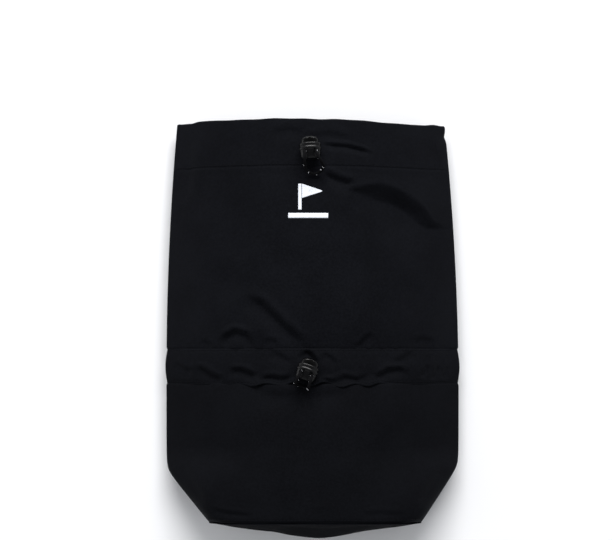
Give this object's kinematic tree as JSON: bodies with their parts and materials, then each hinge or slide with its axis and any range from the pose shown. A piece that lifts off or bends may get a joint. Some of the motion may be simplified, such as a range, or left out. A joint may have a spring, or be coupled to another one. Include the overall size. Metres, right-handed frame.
{
  "type": "golf shoe bag",
  "caption": "Soft boxed-bottom shoe bag with an open mouth, drawcord casings at the mouth and waist, and a sprung cord lock on each cord.",
  "frame": {"origin": "on the floor under the middle of the bag's length and width", "axes": "+X across the bag, +Y towards the mouth, +Z out of the front panel; the bag lies on its back"},
  "size_m": [0.2684, 0.3819, 0.0926],
  "materials": {
    "shell_cloth": "matte",
    "casing_cloth": "matte",
    "binding_tape": "matte",
    "reflective_cord": "matte",
    "print_ink": "satin",
    "lock_plastic": "satin",
    "black_eyelet": "satin",
    "spring_steel": "satin"
  },
  "bodies": {
    "bag": {"front_upper_panel": "shell_cloth", "back_upper_panel": "shell_cloth", "front_lower_panel": "shell_cloth", "back_lower_panel": "shell_cloth", "mid_casing_front": "casing_cloth", "mid_casing_back": "casing_cloth", "base_panel": "shell_cloth", "left_side_binding": "binding_tape", "right_side_binding": "binding_tape", "base_binding_front": "binding_tape", "base_binding_back": "binding_tape", "mouth_eyelet_left": "black_eyelet", "mouth_washer_left": "black_eyelet", "mouth_eyelet_right": "black_eyelet", "mouth_washer_right": "black_eyelet", "mouth_cord_loop": "reflective_cord", "mouth_cord_drawcord": "reflective_cord", "mid_eyelet_left": "black_eyelet", "mid_washer_left": "black_eyelet", "mid_eyelet_right": "black_eyelet", "mid_washer_right": "black_eyelet", "mid_cord_loop": "reflective_cord", "mid_cord_drawcord": "reflective_cord", "mark_bar": "print_ink", "mark_pole": "print_ink", "mark_pennant": "print_ink"},
    "mouth_lock": {"mouth_lock_barrel": "lock_plastic", "mouth_lock_spring": "spring_steel"},
    "mouth_plunger": {"mouth_lock_plunger": "lock_plastic"},
    "mid_lock": {"mid_lock_barrel": "lock_plastic", "mid_lock_spring": "spring_steel"},
    "mid_plunger": {"mid_lock_plunger": "lock_plastic"}
  },
  "joints": [
    {"name": "mouth_lock_slide", "type": "slide", "parent": "bag", "child": "mouth_lock", "axis": [0, 0, 1], "range_m": [0, 0.004]},
    {"name": "mouth_plunger_press", "type": "slide", "parent": "mouth_lock", "child": "mouth_plunger", "axis": [0.0523, -0.9986, 0], "range_m": [0, 0.0024], "stiffness_N_per_m": 800, "springref_m": -0.002, "deforming": ["mouth_lock_spring"]},
    {"name": "mid_lock_slide", "type": "slide", "parent": "bag", "child": "mid_lock", "axis": [0, 0, 1], "range_m": [0, 0.004]},
    {"name": "mid_plunger_press", "type": "slide", "parent": "mid_lock", "child": "mid_plunger", "axis": [-0.342, -0.9397, 0], "range_m": [0, 0.0024], "stiffness_N_per_m": 800, "springref_m": -0.002, "deforming": ["mid_lock_spring"]}
  ]
}
